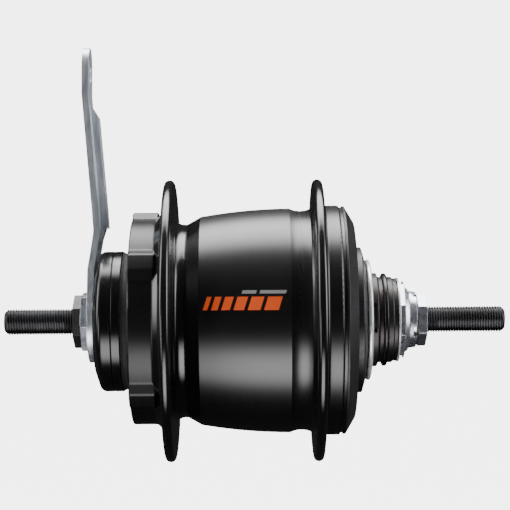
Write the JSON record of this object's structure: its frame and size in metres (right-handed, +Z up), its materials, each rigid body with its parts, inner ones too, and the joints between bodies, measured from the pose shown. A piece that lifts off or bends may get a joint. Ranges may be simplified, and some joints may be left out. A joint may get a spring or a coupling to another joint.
{
  "type": "bicycle hub gear",
  "caption": "Geared rear hub with coaster brake: black shell, two spoke flanges, brake arm and splined driver on a threaded axle.",
  "frame": {"origin": "on the axle line, midway between the outer faces of the two locknuts", "axes": "+X along the axle towards the sprocket side, +Z up along the brake arm, +Y away from the viewer"},
  "size_m": [0.185, 0.1042, 0.1535],
  "materials": {
    "shell_black": "satin black anodised and lacquered, gloss on turned edges",
    "cap_dark": "dark grey matte cap",
    "cover_black": "gloss black",
    "driver_black": "black-brown oxide, oiled",
    "snap_black": "black spring steel",
    "zinc": "bright blue-white zinc plate",
    "zinc_arm": "zinc-plated stamping",
    "nickel": "bright plated",
    "axle_black": "black oxide, rolled thread",
    "locknut_dark": "dark phosphate",
    "gear_steel": "ground steel, oiled",
    "ball_steel": "polished",
    "cage_steel": "pressed sheet",
    "brake_steel": "brown grease film",
    "seal_rubber": "black"
  },
  "bodies": {
    "fixed": {"axle": "axle_black", "locknut_left": "locknut_dark", "locknut_right": "zinc", "brake_arm": "zinc_arm", "brake_arm_nut": "zinc", "brake_cover": "cover_black", "brake_seal": "seal_rubber", "cone_left": "zinc", "brake_anchor": "brake_steel", "shoe_spring": "gear_steel", "sun_gear_third": "gear_steel", "sun_gear_low": "gear_steel", "sun_pawls": "gear_steel", "cone_right": "zinc", "spacer_washer": "locknut_dark"},
    "shell": {"hub_shell": "shell_black", "ball_cup_left": "gear_steel", "ball_cup_right": "cap_dark", "brake_liner": "brake_steel"},
    "high_ring": {"ring_gear_high": "gear_steel", "clutch_cage": "cage_steel", "clutch_rollers": "ball_steel"},
    "carrier": {"carrier_high": "gear_steel", "carrier_low": "gear_steel", "planet_pins_high": "ball_steel", "planet_pins_low": "ball_steel"},
    "first_sun": {"sun_gear_first": "gear_steel"},
    "second_sun": {"sun_gear_second": "gear_steel"},
    "driver_group": {"driver": "driver_black", "ring_gear_low": "gear_steel", "driver_dust_ring": "nickel", "snap_ring": "snap_black", "driver_washer": "nickel"},
    "bearing_left": {"balls_left": "ball_steel", "ball_retainer_left": "cage_steel"},
    "bearing_right": {"balls_right": "ball_steel", "ball_retainer_right": "cage_steel"},
    "bearing_driver": {"balls_driver": "ball_steel", "ball_retainer_driver": "cage_steel"},
    "cam": {"brake_cam": "brake_steel"},
    "selector": {"selector_sleeve": "zinc"},
    "shoe_1": {"brake_shoe_1": "brake_steel", "brake_roller_1": "ball_steel"},
    "high_planet_1": {"planet_high_1": "gear_steel"},
    "low_planet_1": {"planet_low_1": "gear_steel"},
    "shoe_2": {"brake_shoe_2": "brake_steel", "brake_roller_2": "ball_steel"},
    "high_planet_2": {"planet_high_2": "gear_steel"},
    "low_planet_2": {"planet_low_2": "gear_steel"},
    "shoe_3": {"brake_shoe_3": "brake_steel", "brake_roller_3": "ball_steel"},
    "high_planet_3": {"planet_high_3": "gear_steel"},
    "low_planet_3": {"planet_low_3": "gear_steel"}
  },
  "joints": [
    {"name": "shell_spin", "type": "hinge", "parent": "fixed", "child": "shell", "pos_m": [0, 0, 0], "axis": [1, 0, 0], "continuous": true},
    {"name": "high_ring_spin", "type": "hinge", "parent": "fixed", "child": "high_ring", "pos_m": [0, 0, 0], "axis": [1, 0, 0], "continuous": true},
    {"name": "carrier_spin", "type": "hinge", "parent": "fixed", "child": "carrier", "pos_m": [0, 0, 0], "axis": [1, 0, 0], "continuous": true},
    {"name": "high_planet_1_spin", "type": "hinge", "parent": "carrier", "child": "high_planet_1", "pos_m": [0, 0, 0.01995], "axis": [1, 0, 0], "continuous": true},
    {"name": "high_planet_2_spin", "type": "hinge", "parent": "carrier", "child": "high_planet_2", "pos_m": [0, -0.01728, -0.00998], "axis": [1, 0, 0], "continuous": true},
    {"name": "high_planet_3_spin", "type": "hinge", "parent": "carrier", "child": "high_planet_3", "pos_m": [0, 0.01728, -0.00998], "axis": [1, 0, 0], "continuous": true},
    {"name": "low_planet_1_spin", "type": "hinge", "parent": "carrier", "child": "low_planet_1", "pos_m": [0, 0, 0.01995], "axis": [1, 0, 0], "continuous": true},
    {"name": "low_planet_2_spin", "type": "hinge", "parent": "carrier", "child": "low_planet_2", "pos_m": [0, -0.01728, -0.00998], "axis": [1, 0, 0], "continuous": true},
    {"name": "low_planet_3_spin", "type": "hinge", "parent": "carrier", "child": "low_planet_3", "pos_m": [0, 0.01728, -0.00998], "axis": [1, 0, 0], "continuous": true},
    {"name": "first_sun_spin", "type": "hinge", "parent": "fixed", "child": "first_sun", "pos_m": [0, 0, 0], "axis": [1, 0, 0], "continuous": true},
    {"name": "second_sun_spin", "type": "hinge", "parent": "fixed", "child": "second_sun", "pos_m": [0, 0, 0], "axis": [1, 0, 0], "continuous": true},
    {"name": "driver_spin", "type": "hinge", "parent": "fixed", "child": "driver_group", "pos_m": [0, 0, 0], "axis": [1, 0, 0], "continuous": true},
    {"name": "bearing_left_spin", "type": "hinge", "parent": "fixed", "child": "bearing_left", "pos_m": [0, 0, 0], "axis": [1, 0, 0], "continuous": true},
    {"name": "bearing_right_spin", "type": "hinge", "parent": "fixed", "child": "bearing_right", "pos_m": [0, 0, 0], "axis": [1, 0, 0], "continuous": true},
    {"name": "bearing_driver_spin", "type": "hinge", "parent": "fixed", "child": "bearing_driver", "pos_m": [0, 0, 0], "axis": [1, 0, 0], "continuous": true},
    {"name": "brake_cam_turn", "type": "hinge", "parent": "fixed", "child": "cam", "pos_m": [-0.0285, 0, 0], "axis": [1, 0, 0], "range_deg": [0, 20]},
    {"name": "shoe_1_press", "type": "slide", "parent": "fixed", "child": "shoe_1", "axis": [0, 0, 1], "range_m": [0, 0.0005]},
    {"name": "shoe_2_press", "type": "slide", "parent": "fixed", "child": "shoe_2", "axis": [0, -0.866, -0.5], "range_m": [0, 0.0005]},
    {"name": "shoe_3_press", "type": "slide", "parent": "fixed", "child": "shoe_3", "axis": [0, 0.866, -0.5], "range_m": [0, 0.0005]},
    {"name": "selector_turn", "type": "hinge", "parent": "fixed", "child": "selector", "pos_m": [0.06, 0, 0], "axis": [1, 0, 0], "range_deg": [-63, 84]}
  ],
  "couplings": [
    {"joint": "high_ring_spin", "follows": "shell_spin", "ratio": 1},
    {"joint": "carrier_spin", "follows": "shell_spin", "ratio": 0.61611},
    {"joint": "high_planet_1_spin", "follows": "shell_spin", "ratio": 1.2796},
    {"joint": "high_planet_2_spin", "follows": "shell_spin", "ratio": 1.2796},
    {"joint": "high_planet_3_spin", "follows": "shell_spin", "ratio": 1.2796},
    {"joint": "low_planet_1_spin", "follows": "shell_spin", "ratio": 1.8483},
    {"joint": "low_planet_2_spin", "follows": "shell_spin", "ratio": 1.8483},
    {"joint": "low_planet_3_spin", "follows": "shell_spin", "ratio": 1.8483},
    {"joint": "first_sun_spin", "follows": "shell_spin", "ratio": -1.09},
    {"joint": "second_sun_spin", "follows": "shell_spin", "ratio": -0.29028},
    {"joint": "driver_spin", "follows": "shell_spin", "ratio": 1.1706},
    {"joint": "bearing_left_spin", "follows": "shell_spin", "ratio": 0.57542},
    {"joint": "bearing_right_spin", "follows": "shell_spin", "ratio": 1.0759},
    {"joint": "bearing_driver_spin", "follows": "shell_spin", "ratio": 0.70464},
    {"joint": "shoe_1_press", "follows": "brake_cam_turn", "m_per_rad": 0.0014324},
    {"joint": "shoe_2_press", "follows": "brake_cam_turn", "m_per_rad": 0.0014324},
    {"joint": "shoe_3_press", "follows": "brake_cam_turn", "m_per_rad": 0.0014324}
  ]
}
